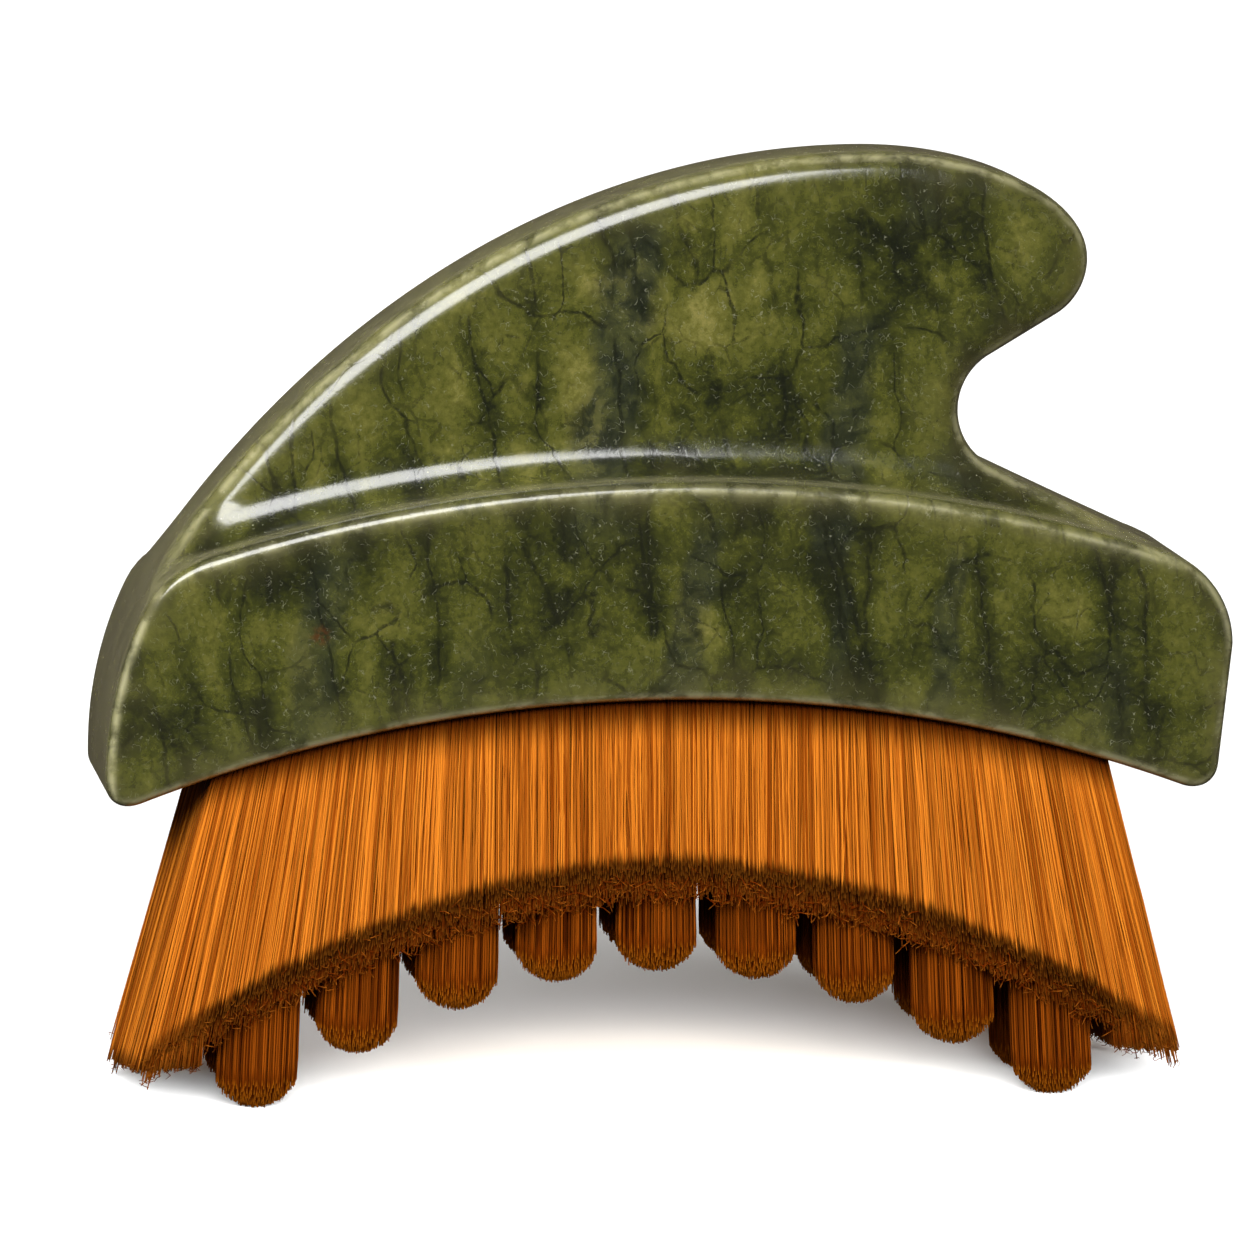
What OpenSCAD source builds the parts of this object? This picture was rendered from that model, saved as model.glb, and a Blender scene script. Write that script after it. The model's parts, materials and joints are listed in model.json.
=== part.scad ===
// Gua sha scraper: a carved stone handle with a fin-shaped grip, whose arched foot carries a brush
// of eighteen round tufts inside a flared wall of bristles.
// Millimetres. X runs along the foot, Y through its thickness (front face at -Y), Z up.
// The origin is on the surface that the outer tufts stand on, under the middle of the stone.

/* [Foot of the stone] */
// Length of the foot, end to end
foot_w = 112.7; // [104:0.1:124]
// Thickness of the foot, front face to rear face
foot_t = 24; // [22:0.5:30]
// Height of the highest point of the foot's arched underside above the floor
under_z = 41; // [38:0.5:46]
// Radius of the arched underside
under_r = 149; // [130:1:190]
// Height of the foot between the tops of its two arcs
foot_h = 21.9; // [17:0.1:25]
// Radius of the foot's upper edge
ledge_r = 162; // [140:1:200]
// Place of the highest point of the foot's upper edge
ledge_x = 1; // [-4:0.5:6]
// Radius of the left end, seen from the front
left_r = 39; // [30:1:60]
// How far below the highest point of the underside the left end is widest
wide_drop = 7; // [4:0.5:9]
// Radius of the right shoulder, seen from the front
shoulder_r = 9.8; // [7:0.1:12]
// How far above the highest point of the underside the right shoulder's centre lies
shoulder_rise = 5; // [3:0.5:7]
// Lean of the right end below its shoulder, in degrees
right_lean = 6; // [0:0.5:10]
// Radius of the two lower corners, seen from the front
corner_r = 3.5; // [2:0.1:4.5]
// Rounding of the front face's upper left corner, where the ledge runs out
face_corner = 5; // [2:0.1:6]
// Rounding of the foot's edges
foot_edge = 1.5; // [0.8:0.1:2.5]

/* [Fin of the stone] */
// Thickness of the fin
fin_t = 13; // [10:0.5:16]
// Rounding of the fin's edge
fin_edge = 3; // [1.5:0.1:4.5]
// Place of the highest point of the fin
crown_x = 20.4; // [14:0.2:26]
// Height of the fin's crown above the floor
crown_z = 94.9; // [88:0.1:102]
// Half length of the ellipse that the fin's back follows
back_a = 94; // [84:1:120]
// Rounding of the convex ledge between the front face and the fillet
ledge_edge = 1.3; // [0.5:0.1:1.5]

/* [Beak and finger notch] */
// Place of the centre of the beak's tip
beak_x = 35.8; // [32:0.1:38]
// Height of the centre of the beak's tip
beak_z = 84; // [81:0.1:87]
// Radius of the beak's tip
beak_r = 6.5; // [5:0.1:7.5]
// Place of the centre of the finger notch
notch_x = 35.7; // [34:0.1:38]
// Height of the centre of the finger notch
notch_z = 69; // [68:0.1:70]
// Radius of the finger notch
notch_r = 6.3; // [5.5:0.1:7]

/* [Brush seat] */
// Place of the middle of the brush along the foot
brush_x = -0.8; // [-3:0.1:3]
// How much shorter than the foot the brush is, at each end
brush_inset = 11.85; // [10:0.05:13]
// Width of the stone's rim along the brush
rim_w = 2.35; // [2:0.05:2.6]
// Thickness of the bristle wall at its root
wall_t = 1.6; // [1.2:0.05:1.8]
// Gap between the brush and the walls of its pocket
seat_gap = 0.1; // [0.05:0.01:0.2]
// How far the insert plate lies inside the underside
recess = 0.3; // [0:0.05:0.8]
// Height of the step that holds the bristle wall
step_h = 2.6; // [2:0.1:3.2]
// Thickness of the insert plate
insert_t = 5; // [4.8:0.1:6]
// Thickness of the adhesive bed
glue_t = 0.4; // [0.2:0.05:0.8]

/* [Tufts] */
// Distance from the outer tufts' bores to the end walls of bristles
tuft_end_gap = 1.1; // [0.8:0.05:1.6]
// Distance from the tufts' bores to the front and the rear wall of bristles
tuft_side_gap = 0.7; // [0.5:0.05:1]
// Distance from the tufts' bores to the middle plane
tuft_mid_gap = 0.55; // [0.4:0.05:0.8]
// How much further apart neighbouring tufts are at their tips than at their roots
tip_spread = 0.45; // [0.2:0.05:0.6]
// Lean of the tufts away from the middle plane, in degrees
tuft_lean = 3.5; // [2.5:0.1:4]
// Depth of a tuft's bore
bore_h = 3.6; // [3:0.1:3.8]
// How much thicker a tuft is at its tip than at its root, on each side
tip_swell = 0.7; // [0.3:0.05:0.9]
// Height of the middle tufts' tips above the floor
tuft_rise = 13; // [9:0.5:16]
// How deep the standing tufts are cut flat
flat_cut = 0.5; // [0.3:0.05:0.6]
// Height of the dome on a tuft's tip
dome = 2.2; // [0.8:0.1:2.6]

/* [Bristle wall] */
// Number of strands in the front wall and in the rear wall
wall_strands = 70; // [60:5:80]
// Number of strands in each end wall
end_strands = 12; // [10:1:14]
// Height of the wall's outer tips above the floor, at the middle
wall_z = 24.5; // [22:0.5:28]
// Fall of the outer tips from the middle to the ends
wall_drop = 18.2; // [14:0.2:19]
// How much lower the inner bristles end than the outer ones, at the middle
bevel_mid = 3.9; // [2:0.1:4.5]
// How much lower the inner bristles end than the outer ones, at the ends
bevel_end = 1.9; // [1:0.1:3]
// How far the end bristles flare out along the foot
flare_x = 7.6; // [5:0.1:9]
// Lean of the wall's outer face, in degrees
wall_lean = 5; // [4.5:0.1:6]
// Gap between neighbouring strands
strand_gap = 0.2; // [0.15:0.01:0.3]

/* [Hidden] */
$fn = 48;
slip = 0.05;                            // play of a piece in a seat that it is glued or pressed into
rooted = 1;                             // how deep a strand starts inside its backing
lengths = 5;                            // lengths that the front and the rear wall are set in
columns = 9;                            // tufts in a row
middle = (columns - 1) / 2;             // columns from the middle tuft to the outer one
fin_half = fin_t / 2;
foot_half = foot_t / 2;
cove_r = foot_half - ledge_edge - fin_half;     // hollow fillet between foot and fin
ledge_z = under_z + foot_h;
wide_z = under_z - wide_drop;           // height at which the left end is widest
shoulder = [foot_w / 2 - shoulder_r, under_z + shoulder_rise];
beak = [beak_x, beak_z];
notch = [notch_x, notch_z];
pocket_h = recess + insert_t + glue_t;
brush_half = foot_w / 2 - brush_inset;  // half the brush's length and thickness where it leaves the stone
brush_side = foot_half - rim_w;
tip_half = brush_half + flare_x;
inner_side = brush_side - wall_t;       // inner face of the bristle wall at its root
inner_half = brush_half - wall_t;
inner_lean = wall_lean - 1;
bore_d = inner_side - tuft_side_gap - tuft_mid_gap;
row_y = tuft_mid_gap + bore_d / 2;      // half the distance between the two rows at their roots
root_pitch = (inner_half - tuft_end_gap - bore_d / 2) / middle;
tip_pitch = root_pitch + tip_spread;
tip_r = bore_d / 2 + tip_swell;
fall_power = 1.93;                      // the tips' arch falls a little slower than a parabola
wall_power = 1.85;
upright = 12;                           // the bristles this near the middle stand upright
fan_power = 2.4;
uneven = 0.3;                           // how much longer or shorter than its place asks a strand is
wire = [bore_d - 2 * seat_gap, 0.4, 1.5];       // flat anchor wire, along, across and high

columns_at = [for (i = [-middle : middle]) i];

// ---- outlines of the stone, as points [x, z] ----

function mix(a, b, t) = a + (b - a) * t;
function polar(c, r, a) = c + r * [cos(a), sin(a)];
// Height below the top of a circle of radius r, at the distance x from its middle
function sag(r, x) = r - sqrt(r * r - x * x);
// Underside and upper edge of the foot
function under(x) = under_z - sag(under_r, x);
function ledge(x) = ledge_z - sag(ledge_r, x - ledge_x);
// Direction of the line that touches circle a on one side and circle b on the other
function crossing(a, ra, b, rb, side) = let (d = b - a)
    atan2(d[1], d[0]) + side * acos((ra + rb) / norm(d));

beak_turn = crossing(beak, beak_r, notch, notch_r, 1);
lip_turn = crossing(shoulder, shoulder_r, notch, notch_r, -1);
lip_low = polar(shoulder, shoulder_r, lip_turn);
lip_high = polar(notch, notch_r, lip_turn + 180);

// How far a lower corner's rounding draws the end in, at the height t above the underside
function corner_in(t) = t < corner_r ? corner_r - sqrt(corner_r * corner_r - pow(corner_r - t, 2)) : 0;
// The two ends of the foot, at the height z
function left_end(z) = -foot_w / 2 + sag(left_r, min(left_r, max(0, z - wide_z)));
function right_end(z) = z > lip_low[1] ? lip_low[0] - (z - lip_low[1]) * tan(lip_turn)
    : z > shoulder[1] ? shoulder[0] + sqrt(pow(shoulder_r, 2) - pow(z - shoulder[1], 2))
    : foot_w / 2 - (shoulder[1] - z) * tan(right_lean);

// Rows of the foot from the underside to its upper edge: [share of the height, distance beyond it]
foot_rows = concat(
    [for (a = [0, 30, 60, 90]) [0, foot_edge * (1 - cos(a))]],
    [[0, mix(foot_edge, corner_r, 0.45)], [0, corner_r]],
    [for (share = [0.25, 0.42, 0.58, 0.69, 0.77, 0.83, 0.88, 0.92]) [share, 0]],
    [for (a = [90, 60, 30, 0]) [1, -ledge_edge * (1 - cos(a))]]);
function row_z(x, row) = mix(under(x), ledge(x), row[0]) + row[1];
function row_rise(row) = row[0] > 0 ? corner_r : row[1];
// The end of a row, found by closing in on the outline from the point x
function row_left(row, x = -foot_w / 2, n = 24) = n == 0 ? x
    : row_left(row, left_end(row_z(x, row)) + corner_in(row_rise(row)), n - 1);
function row_right(row, x = foot_w / 2 - shoulder_r, n = 40) = n == 0 ? x
    : row_right(row, mix(x, right_end(row_z(x, row)) - corner_in(row_rise(row)), 0.6), n - 1);

edge_row = foot_rows[len(foot_rows) - 1];
left_x = row_left(edge_row);            // where the foot's upper edge meets the fin's back
right_x = row_right(edge_row);          // where it meets the lip below the notch
back_b = (crown_z - ledge(left_x)) / (1 - sqrt(1 - pow((crown_x - left_x) / back_a, 2)));
function back(x) = [x, crown_z - back_b * (1 - sqrt(1 - pow((crown_x - x) / back_a, 2)))];
crown_a = beak_x + beak_r - crown_x;
crown_b = crown_z - beak_z;
lip_end = right_x - foot_edge / 2;      // last point of the lip, just clear of the upper edge

// Steps from 0 to 1 along the back; the first are small, to follow the rounded edge of the end
back_steps = concat([0.006, 0.014, 0.028, 0.05, 0.075, 0.1, 0.125, 0.15], [for (i = [0 : 20]) mix(0.19, 1, i / 20)]);
lip_steps = [0.2, 0.4, 0.6, 0.76, 0.88, 0.95, 1];
// Places on the foot's upper edge from which the facets' columns fan out to the fin's outline
back_foot = mix(left_x, right_x, 0.45);
crown_foot = mix(left_x, right_x, 0.5);
beak_foot = mix(left_x, right_x, 0.53);
lip_foot = mix(left_x, right_x, 0.54);
notch_foot = mix(left_x, right_x, 0.79);
// Columns from left to right: [x on the foot's upper edge, point on the fin's outline]
fin_columns = concat(
    [for (t = back_steps) [mix(left_x, back_foot, t - back_steps[0]), back(mix(left_x, crown_x, t))]],
    [for (i = [1 : 9]) [mix(back_foot, crown_foot, i / 9),
        [crown_x + crown_a * sin(i * 10), beak_z + crown_b * cos(i * 10)]]],
    [for (i = [1 : 5]) [mix(crown_foot, beak_foot, i / 5), polar(beak, beak_r, beak_turn * i / 5)]],
    [for (i = [0 : 9]) [mix(lip_foot, notch_foot, i / 9),
        polar(notch, notch_r, mix(beak_turn + 180, lip_turn + 180, i / 9))]],
    [for (t = lip_steps) let (x = mix(lip_high[0], lip_end, t)) [mix(notch_foot, right_x, t),
        [x, mix(lip_high[1], lip_low[1], (x - lip_high[0]) / (lip_low[0] - lip_high[0]))]]]);
last = len(fin_columns) - 1;

// ---- the stone's skin: columns of points from the underside over the ledge to the fin's outline ----

// Distances from the ledge, and from the fin's outline, at which a column has a point
cove_steps = [for (a = [75, 60, 45, 30, 15, 0]) cove_r * (1 - sin(a))];
rim_steps = [for (a = [90, 60, 40, 20, 0]) fin_edge * (1 - cos(a))];
near = cove_r + fin_edge + ledge_edge;  // shorter columns squeeze their points together

function foot_point(k, row, ends) = let (
    t = (fin_columns[k][0] - left_x) / (right_x - left_x),
    x = mix(ends[0], ends[1], min(1, max(0, t)))) [x, row_z(x, row)];
// The way into the stone, square to the fin's outline at column k
function inward(k) = let (
    a = fin_columns[max(0, k - 1)][1],
    b = fin_columns[min(last, k + 1)][1],
    d = (b - a) / norm(b - a)) [d[1], -d[0]];
// Points of column k from the ledge to the outline: first along the column, last square to the outline
function fin_column(k, root) = let (
    tip = fin_columns[k][1],
    length = norm(tip - root),
    way = (tip - root) / length,
    square = min(1, max(0, length / near - 1)),
    turned = mix(-way, inward(k), square),
    scale = min(1, length / near))
    concat(
        [for (s = cove_steps) root + way * s * scale],
        [for (s = rim_steps) tip + turned / norm(turned) * s * scale]);

// Distance of the point p from the line a-b
function line_gap(p, a, b) = let (d = b - a, t = min(1, max(0, (p - a) * d / (d * d)))) norm(p - a - t * d);
function outline_gap(p, loop) = min([for (i = [0 : len(loop) - 2]) line_gap(p, loop[i], loop[i + 1])]);
// Half thickness without the outline's rounding: foot, rounded ledge, hollow fillet, then fin
function body_half(p) = let (
    above = norm(p - [ledge_x, ledge_z - ledge_r]) - ledge_r,
    beside = left_end(p[1]) - ledge_edge - p[0],
    d = norm([max(0, above + face_corner), max(0, beside + face_corner)]) - face_corner)
    d < -ledge_edge ? foot_half
    : d < 0 ? foot_half - ledge_edge + sqrt(pow(ledge_edge, 2) - pow(d + ledge_edge, 2))
    : d < cove_r ? foot_half - ledge_edge - sqrt(pow(cove_r, 2) - pow(cove_r - d, 2))
    : fin_half;
// Half thickness with it, at the distance gap inside the outline
function skin_half(p, gap) = let (
    body = body_half(p),
    r = mix(fin_edge, foot_edge, (body - fin_half) / (foot_half - fin_half)),
    short = max(0, r - gap)) body - r + sqrt(r * r - short * short);

module stone_skin() {
    foot_ends = [for (row = foot_rows) [row_left(row), row_right(row)]];
    columns_of = [for (k = [0 : last])
        let (foot = [for (j = [0 : len(foot_rows) - 1]) foot_point(k, foot_rows[j], foot_ends[j])])
        concat(foot, fin_column(k, foot[len(foot) - 1]))];
    top = len(columns_of[0]) - 1;
    loop = concat(
        [for (k = [0 : last]) columns_of[k][0]],
        [for (j = [1 : top]) columns_of[last][j]],
        [for (k = [last - 1 : -1 : 0]) columns_of[k][top]],
        [for (j = [top - 1 : -1 : 0]) columns_of[0][j]]);
    flat = [for (k = [0 : last]) for (j = [0 : top]) columns_of[k][j]];
    half = [for (p = flat) skin_half(p, outline_gap(p, loop))];
    rear = len(flat);
    at = function (k, j) k * (top + 1) + j;
    rim = concat(
        [for (k = [0 : last]) at(k, 0)], [for (j = [1 : top]) at(last, j)],
        [for (k = [last - 1 : -1 : 0]) at(k, top)], [for (j = [top - 1 : -1 : 1]) at(0, j)]);
    polyhedron(
        points = concat(
            [for (i = [0 : rear - 1]) [flat[i][0], -half[i], flat[i][1]]],
            [for (i = [0 : rear - 1]) [flat[i][0], half[i], flat[i][1]]]),
        faces = concat(
            [for (k = [0 : last - 1]) for (j = [0 : top - 1]) each let (
                a = at(k, j), b = at(k + 1, j), c = at(k + 1, j + 1), d = at(k, j + 1)) [
                    [a, d, c], [a, c, b],
                    [rear + a, rear + c, rear + d], [rear + a, rear + b, rear + c]]],
            [for (i = [0 : len(rim) - 1]) each let (a = rim[i], b = rim[(i + 1) % len(rim)]) [
                [a, b, rear + b], [a, rear + b, rear + a]]]));
}

// ---- arched pieces in the foot ----

// A slice of the arch: from low to high above the underside, between two faces and two places x
module arch_slice(low, high, y_from, y_to, x_from, x_to) {
    turn = asin(x_to / under_r);
    translate([0, 0, under_z - under_r]) rotate([90, 0, 0]) rotate([0, 0, 90 - turn])
        rotate_extrude(angle = turn - asin(x_from / under_r), $fn = 180)
            translate([under_r + low, -y_to]) square([high - low, y_to - y_from]);
}
// The same, centred on the brush
module brush_slice(low, high, side, half_x) {
    arch_slice(low, high, -side, side, brush_x - half_x, brush_x + half_x);
}
function root_x(i) = brush_x + root_pitch * i;
module at_bores(side) {
    for (i = columns_at) translate([root_x(i), side * row_y, under(root_x(i))]) children();
}

module stone_handle() {
    color([0.34, 0.40, 0.22]) difference() {
        stone_skin();
        brush_slice(-corner_r, pocket_h, brush_side + seat_gap, brush_half + seat_gap);
    }
}
module insert_plate() {
    color([0.75, 0.71, 0.62]) difference() {
        union() {
            brush_slice(recess, recess + step_h + slip, inner_side - slip, inner_half - slip);
            brush_slice(recess + step_h, recess + insert_t, brush_side, brush_half);
        }
        for (side = [-1, 1]) at_bores(side) translate([0, 0, -corner_r])
            cylinder(d = bore_d, h = bore_h + corner_r);
    }
}
module adhesive_bed() {
    color([0.85, 0.82, 0.68]) brush_slice(recess + insert_t, pocket_h, brush_side, brush_half);
}
module tuft_anchors() {
    color([0.80, 0.66, 0.34]) for (side = [-1, 1]) at_bores(side)
        translate([-wire[0] / 2, -wire[1] / 2, bore_h - slip - wire[2]]) cube(wire);
}

// ---- strands ----

// A strand of four sides between two quadrilaterals of points, root first
module strand(root, tip) {
    polyhedron(points = concat(root, tip), faces = [
        [0, 1, 2], [0, 2, 3], [4, 6, 5], [4, 7, 6],
        [0, 5, 1], [0, 4, 5], [1, 6, 2], [1, 5, 6], [2, 7, 3], [2, 6, 7], [3, 4, 0], [3, 7, 4]]);
}
// Small steady irregularity of the strands' lengths, from -1 to 1
function ragged(i) = sin(i * 137.5) * cos(i * 61);

// Height of the wall's outer tips, and how much lower its inner tips end, at the distance x
function wall_tip(x) = wall_z - wall_drop * pow(abs(x) / tip_half, wall_power);
function bevel(x) = mix(bevel_mid, bevel_end, pow(x / tip_half, 2));
// How far the tip of a bristle stands out along the foot from its root at the distance x
function fan(x) = abs(x) < upright ? 0
    : flare_x * sign(x) * pow((abs(x) - upright / 2) / (brush_half - upright / 2), fan_power);

// A strand of the front wall (side -1) or the rear wall (side 1), between two distances x at its root;
// its outer and its inner face are planes
module wall_strand(side, a, b, i) {
    g = strand_gap / 2;
    low = under(brush_x + (a + b) / 2) + recess + rooted;
    za = wall_tip(a + fan(a)) + uneven * ragged(i);
    zb = wall_tip(b + fan(b)) + uneven * ragged(i);
    outer = brush_side - slip;
    inner = inner_side + slip;
    edge = function (x, shift, y, lean, z) [x + (z < low ? shift : 0), y + (low - z) * tan(lean), z];
    ends = function (z0, z1, z2, z3) [
        edge(a + g, fan(a), outer, wall_lean, z0), edge(b - g, fan(b), outer, wall_lean, z1),
        edge(b - g, fan(b), inner, inner_lean, z2), edge(a + g, fan(a), inner, inner_lean, z3)];
    translate([brush_x, 0, 0]) mirror([0, side < 0 ? 1 : 0, 0])
        strand(ends(low, low, low, low), ends(za, zb, zb - bevel(b), za - bevel(a)));
}
// Length number n of the front or the rear wall, in its slice of backing
module wall_length(side, n) {
    each_one = wall_strands / lengths;
    pitch = 2 * brush_half / wall_strands;
    first = (n - 1) * each_one;
    color([0.80, 0.47, 0.14]) {
        x_from = brush_x - brush_half + first * pitch;
        arch_slice(recess, recess + step_h - slip, side < 0 ? -brush_side : inner_side,
            side < 0 ? -inner_side : brush_side, x_from + slip / 2, x_from + each_one * pitch - slip / 2);
        for (i = [first : first + each_one - 1])
            wall_strand(side, i * pitch - brush_half, (i + 1) * pitch - brush_half, i);
    }
}
// A strand of the left (side -1) or right (side 1) end wall, between two distances y at its root
module end_strand(side, a, b, i) {
    g = strand_gap / 2;
    outer = brush_half - slip;
    low = under(brush_x + side * outer) + recess + rooted;
    fall = low - wall_tip(tip_half);
    spread = 1 + fall * tan(inner_lean - 0.5) / inner_side;
    out_tip = outer + flare_x;
    in_tip = out_tip - wall_t * 1.5;
    out_z = wall_tip(out_tip) + uneven * ragged(i);
    in_z = out_z - bevel_end;
    root = [[outer, a + g, low], [inner_half + slip, a + g, low], [inner_half + slip, b - g, low],
        [outer, b - g, low]];
    tip = [[out_tip, a * spread + g, out_z], [in_tip, a * spread + g, in_z],
        [in_tip, b * spread - g, in_z], [out_tip, b * spread - g, out_z]];
    translate([brush_x, 0, 0]) mirror([side < 0 ? 1 : 0, 0, 0]) strand(root, tip);
}
module end_skirt(side) {
    reach = inner_side - strand_gap;
    pitch = 2 * reach / end_strands;
    color([0.80, 0.47, 0.14]) {
        arch_slice(recess, recess + step_h - slip, -reach, reach,
            brush_x + (side < 0 ? -brush_half : inner_half), brush_x + (side < 0 ? -inner_half : brush_half));
        for (i = [0 : end_strands - 1])
            end_strand(side, i * pitch - reach, (i + 1) * pitch - reach, i + side);
    }
}

// Rings of a tuft's strands: [count, inner radius, outer radius], as shares of the tuft's radius
tuft_rings = [[5, 0.32, 0.62], [10, 0.67, 1]];
core_share = 0.2;
function tuft_tip(i) = tuft_rise - (tuft_rise + flat_cut) * pow(abs(i) / middle, fall_power);
function ring_quad(r0, r1, from, to, z0, z1) = [
    concat(polar([0, 0], r0, from), z0), concat(polar([0, 0], r0, to), z0),
    concat(polar([0, 0], r1, to), z1), concat(polar([0, 0], r1, from), z1)];
function moved(points, by) = [for (p = points) p + by];
function domed(share) = dome * share * share;

// Tuft in column i of the front row (side -1) or the rear row (side 1)
module tuft(side, i) {
    foot = [root_x(i), row_y, under(root_x(i)) + recess];
    plug_h = bore_h - recess - slip;
    low = foot[2] + rooted;
    tip = [brush_x + tip_pitch * i, row_y + (foot[2] - tuft_tip(i)) * tan(tuft_lean), tuft_tip(i)];
    root_r = bore_d / 2 - slip;
    color([0.70, 0.38, 0.10]) mirror([0, side < 0 ? 1 : 0, 0]) difference() {
        union() {
            translate(foot) cylinder(r = root_r, h = plug_h);
            for (n = [0 : len(tuft_rings) - 1]) let (ring = tuft_rings[n], step = 360 / ring[0])
                for (k = [0 : ring[0] - 1]) let (
                    from = (k + 0.07 + n / 2) * step,
                    to = (k + 0.93 + n / 2) * step,
                    rise = uneven * ragged(k + 7 * n + 3 * i))
                    strand(
                        moved(ring_quad(ring[1] * root_r, ring[2] * root_r - slip, from, to, 0, 0),
                            [foot[0], foot[1], low]),
                        moved(ring_quad(ring[1] * tip_r, ring[2] * tip_r, from, to,
                            domed(ring[1]) + rise, domed(ring[2]) + rise), tip));
            strand(
                [for (a = [45, -45, -135, -225]) concat(polar([foot[0], foot[1]], core_share * root_r, a), low)],
                [for (a = [45, -45, -135, -225]) concat(polar([tip[0], tip[1]], core_share * tip_r, a), tip[2])]);
        }
        // groove in the fold of the tuft, which the anchor wire lies in
        translate([foot[0] - bore_d, foot[1] - wire[1] / 2 - slip, foot[2] - recess + bore_h - wire[2] - 2 * slip])
            cube([2 * bore_d, wire[1] + 2 * slip, wire[2] + bore_h]);
        // tips of the standing tufts, cut flat at the floor
        if (tuft_tip(i) < 0) translate([-foot_w, -foot_w, -foot_w]) cube([2 * foot_w, 2 * foot_w, foot_w]);
    }
}

stone_handle();
insert_plate();
adhesive_bed();
tuft_anchors();
end_skirt(-1);  // left_end_skirt
end_skirt(1);  // right_end_skirt
for (n = [1 : lengths]) {
    wall_length(-1, n);
    wall_length(1, n);
}
for (n = [1 : columns]) {
    tuft(-1, n - 1 - middle);
    tuft(1, n - 1 - middle);
}
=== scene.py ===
"""Gua sha scraper: a carved stone handle whose arched foot carries a brush, eighteen round tufts inside a
flared wall of bristles.

Shapes are worked out in millimetres and turned into metres when they become a mesh.
"""

import json

import bmesh
import bpy
import numpy as np
from mathutils import Matrix, Vector

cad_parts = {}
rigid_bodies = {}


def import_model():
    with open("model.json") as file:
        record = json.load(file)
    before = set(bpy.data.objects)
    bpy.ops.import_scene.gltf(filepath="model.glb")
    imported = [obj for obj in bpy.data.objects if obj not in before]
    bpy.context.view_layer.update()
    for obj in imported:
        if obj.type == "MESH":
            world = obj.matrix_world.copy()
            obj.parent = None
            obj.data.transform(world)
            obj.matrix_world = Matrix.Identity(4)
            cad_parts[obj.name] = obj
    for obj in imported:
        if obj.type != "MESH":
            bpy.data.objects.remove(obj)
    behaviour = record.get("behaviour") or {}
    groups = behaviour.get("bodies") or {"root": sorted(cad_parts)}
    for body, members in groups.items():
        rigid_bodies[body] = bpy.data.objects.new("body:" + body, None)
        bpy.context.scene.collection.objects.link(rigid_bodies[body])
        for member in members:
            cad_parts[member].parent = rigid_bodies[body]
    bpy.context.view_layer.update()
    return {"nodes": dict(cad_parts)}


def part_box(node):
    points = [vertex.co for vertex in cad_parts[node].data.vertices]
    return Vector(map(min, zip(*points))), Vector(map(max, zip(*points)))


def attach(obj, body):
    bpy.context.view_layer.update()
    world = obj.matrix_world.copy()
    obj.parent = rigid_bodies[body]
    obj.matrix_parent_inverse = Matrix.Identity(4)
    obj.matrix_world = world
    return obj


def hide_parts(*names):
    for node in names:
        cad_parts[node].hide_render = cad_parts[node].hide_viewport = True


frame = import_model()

MM = 0.001

# ---- The carved stone ----
# One piece of green serpentine, sawn to its outline, ground and polished all round by hand: a thick arched
# foot, a hollow fillet along its upper edge, and a thinner fin with a beak and a finger notch. Its
# underside has a pocket, cut to the arch, that the brush is glued into.

# _half_w and _half_t are half a length and half a thickness, _r the radius of a circle or of a rounded
# edge, _x and _z a circle's middle or its top
stone_low, stone_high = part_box("stone_handle")
foot_half_w = (stone_high.x - stone_low.x) / MM / 2
foot_half_t = (stone_high.y - stone_low.y) / MM / 2
crown_x, crown_z = 20.4, stone_high.z / MM
under_z, under_r = 41.0, 149.0
ledge_x, ledge_z, ledge_r = 1.0, 62.9, 162.0
left_r, wide_z = 39.0, 34.0
shoulder_r, shoulder_z, right_lean = 9.8, 46.0, np.radians(6)
corner_r, face_corner, foot_edge, ledge_edge, fin_edge = 3.5, 5.0, 1.5, 1.3, 3.0
fin_half, back_a = 6.5, 94.0
cove_r = foot_half_t - ledge_edge - fin_half
beak, beak_r = np.array([35.8, 84.0]), 6.5
notch, notch_r = np.array([35.7, 69.0]), 6.3
brush_x, pocket_half_w, pocket_half_t, pocket_h = -0.8, 44.6, 9.75, 5.7


def sag(radius, x):
    """How far a circle has dropped below its top at the distance x from its middle."""
    return radius - np.sqrt(radius**2 - x**2)


def under(x):
    """Height of the arched underside: a circle with its top at the middle of the stone."""
    return under_z - sag(under_r, x)


def ledge(x):
    """Height of the foot's upper edge: a flatter circle."""
    return ledge_z - sag(ledge_r, x - ledge_x)


def polar(centre, radius, turn):
    """Points at the angles turn on a circle, one row each."""
    return centre + radius * np.column_stack([np.cos(turn), np.sin(turn)])


def crossing(a, radius_a, b, radius_b, side):
    """Direction from a to where a straight line touches circle a and circle b on opposite sides."""
    apart = b - a
    return np.arctan2(apart[1], apart[0]) + side * np.arccos((radius_a + radius_b) / np.hypot(*apart))


shoulder = np.array([foot_half_w - shoulder_r, shoulder_z])
beak_turn = crossing(beak, beak_r, notch, notch_r, 1)
lip_turn = crossing(shoulder, shoulder_r, notch, notch_r, -1)
lip_low = polar(shoulder, shoulder_r, np.array([lip_turn]))[0]
lip_high = polar(notch, notch_r, np.array([lip_turn + np.pi]))[0]


def corner_in(rise):
    """How far the rounding of a lower corner draws the end in, at a height above the underside."""
    return corner_r - np.sqrt(corner_r**2 - np.maximum(0, corner_r - rise) ** 2)


def left_end(z):
    """The left end of the foot: upright below its widest point, a circle above it."""
    return -foot_half_w + sag(left_r, np.clip(z - wide_z, 0, left_r))


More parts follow.
